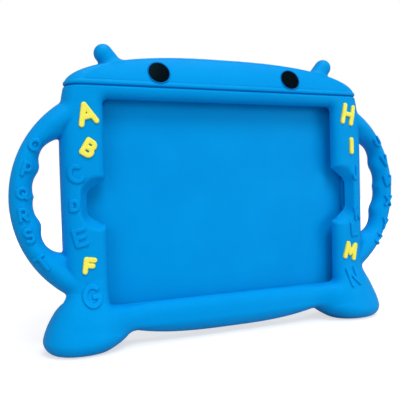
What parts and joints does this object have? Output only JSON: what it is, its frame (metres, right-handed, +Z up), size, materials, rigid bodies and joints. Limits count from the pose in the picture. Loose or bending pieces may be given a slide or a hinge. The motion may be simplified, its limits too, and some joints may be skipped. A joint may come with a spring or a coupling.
{
  "type": "kids tablet case",
  "caption": "Chunky moulded silicone tablet case shaped like a round creature, with a screen window, side grip handles, feet that stand it up and stub ears.",
  "frame": {"origin": "on the ground, midway between the two feet and at the middle of their depth", "axes": "+Z up, +X to the right seen from the front, the screen window faces -Y"},
  "size_m": [0.3422, 0.05, 0.2317],
  "materials": {
    "blue_silicone": "soft satin moulded silicone",
    "black_silicone": "satin",
    "yellow_silicone": "matt coloured silicone on the raised letters"
  },
  "bodies": {
    "root": {"case_body": "blue_silicone", "eye_left": "black_silicone", "eye_right": "black_silicone"}
  },
  "joints": []
}
